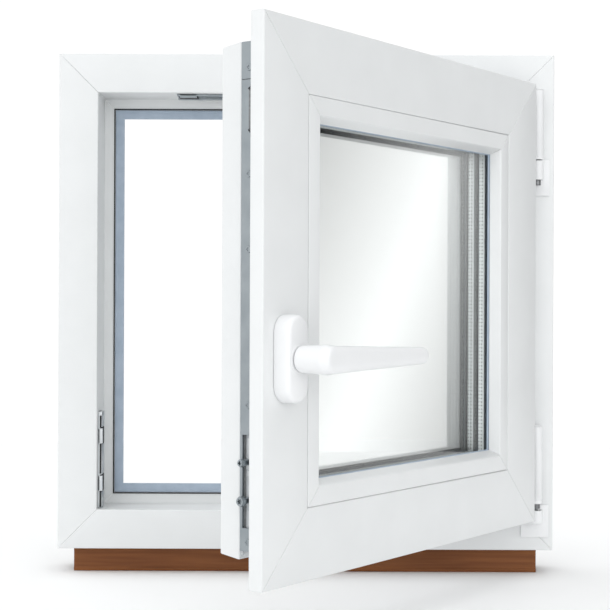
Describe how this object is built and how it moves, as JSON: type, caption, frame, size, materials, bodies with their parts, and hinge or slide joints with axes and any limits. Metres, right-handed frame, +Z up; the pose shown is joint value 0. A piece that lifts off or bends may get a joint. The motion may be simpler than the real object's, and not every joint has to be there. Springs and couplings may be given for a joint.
{
  "type": "tilt and turn window",
  "caption": "White plastic tilt-and-turn window: hollow outer frame, inward-opening triple-glazed sash with lever handle, drive gear and stay arm, on a brown sill profile.",
  "frame": {"origin": "on the underside of the sill connection profile, midway along its length, in the middle depth plane of the outer frame", "axes": "+X to the hinge side, +Y to the outside, +Z up; the sash opens towards -Y"},
  "size_m": [0.52, 0.4644, 0.546],
  "materials": {
    "white_pvc": "satin",
    "seal_grey": "matt",
    "black_rubber": "matt",
    "brown_pvc": "satin",
    "zinc": "satin zinc plating",
    "galvanised_steel": "galvanised",
    "dark_steel": "satin",
    "aluminium": "perforated, satin",
    "glass": "clear",
    "block_plastic": "matt"
  },
  "bodies": {
    "frame": {"frame_bottom": "white_pvc", "frame_left": "white_pvc", "frame_top": "white_pvc", "frame_right": "white_pvc", "frame_steel_bottom": "galvanised_steel", "frame_steel_left": "galvanised_steel", "frame_steel_top": "galvanised_steel", "frame_steel_right": "galvanised_steel", "frame_gasket": "seal_grey", "sill_profile": "brown_pvc", "tilt_keep": "zinc", "top_keep": "zinc", "corner_bearing": "zinc", "corner_bearing_cap": "white_pvc", "stay_bearing": "zinc", "stay_bearing_cover": "white_pvc", "stay_bearing_pin": "dark_steel"},
    "pivot_ball": {"corner_pivot_ball": "dark_steel"},
    "sash": {"sash_bottom": "white_pvc", "sash_left": "white_pvc", "sash_top": "white_pvc", "sash_right": "white_pvc", "sash_steel_bottom": "galvanised_steel", "sash_steel_left": "galvanised_steel", "sash_steel_top": "galvanised_steel", "sash_steel_right": "galvanised_steel", "glazing_bead_bottom": "white_pvc", "glazing_bead_left": "white_pvc", "glazing_bead_top": "white_pvc", "glazing_bead_right": "white_pvc", "overlap_gasket": "seal_grey", "overlap_gasket_between_hinges": "seal_grey", "glazing_gasket_room_side": "black_rubber", "glazing_gasket_outside": "black_rubber", "glass_pane_room_side": "glass", "glass_pane_middle": "glass", "glass_pane_outside": "glass", "glass_spacer_room_side": "aluminium", "glass_spacer_outside": "aluminium", "setting_block_lock_side": "block_plastic", "setting_block_hinge_side": "block_plastic", "lock_faceplate": "zinc", "top_faceplate": "zinc", "corner_drive": "zinc", "stay_rail": "zinc", "gearbox": "zinc", "corner_hinge": "zinc", "corner_hinge_cover": "white_pvc", "corner_pivot_pin": "dark_steel", "handle_rosette": "white_pvc"},
    "stay_arm": {"stay_arm": "zinc", "stay_arm_cover": "white_pvc"},
    "handle": {"handle_lever": "white_pvc", "handle_spindle": "zinc"},
    "side_rod": {"side_drive_rod": "galvanised_steel", "roller_cam": "zinc", "locking_cam": "zinc"},
    "top_rod": {"top_drive_rod": "galvanised_steel"},
    "mishandling_lever": {"mishandling_lever": "zinc"}
  },
  "joints": [
    {"name": "sash_turn", "type": "hinge", "parent": "frame", "child": "pivot_ball", "pos_m": [0.2407, -0.0393, 0.063], "axis": [0, 0, 1], "range_deg": [-53.2, 46.8]},
    {"name": "sash_tilt", "type": "hinge", "parent": "pivot_ball", "child": "sash", "pos_m": [0.2407, -0.0393, 0.063], "axis": [0.599, 0.8007, 0], "range_deg": [0, 7.5]},
    {"name": "stay_arm_swing", "type": "hinge", "parent": "pivot_ball", "child": "stay_arm", "pos_m": [0.2407, -0.0393, 0.496], "axis": [0, 0, 1], "range_deg": [0, 20.1]},
    {"name": "handle_turn", "type": "hinge", "parent": "sash", "child": "handle", "pos_m": [0.01008, -0.41552, 0.2405], "axis": [-0.8007, 0.599, 0], "range_deg": [-90, 90]},
    {"name": "side_rod_slide", "type": "slide", "parent": "sash", "child": "side_rod", "axis": [0, 0, 1], "range_m": [-0.01801, 0.01801]},
    {"name": "top_rod_slide", "type": "slide", "parent": "sash", "child": "top_rod", "axis": [0.599, 0.8007, 0], "range_m": [-0.01801, 0.01801]},
    {"name": "mishandling_lever_press", "type": "hinge", "parent": "sash", "child": "mishandling_lever", "pos_m": [-0.03978, -0.38234, 0.454], "axis": [-0.8007, 0.599, 0], "range_deg": [-12, 0], "stiffness_Nm_per_rad": 0.04, "springref_deg": 11.46}
  ],
  "couplings": [
    {"joint": "stay_arm_swing", "follows": "sash_tilt", "ratio": 2.676},
    {"joint": "side_rod_slide", "follows": "handle_turn", "m_per_rad": -0.011459},
    {"joint": "top_rod_slide", "follows": "handle_turn", "m_per_rad": -0.011459}
  ]
}
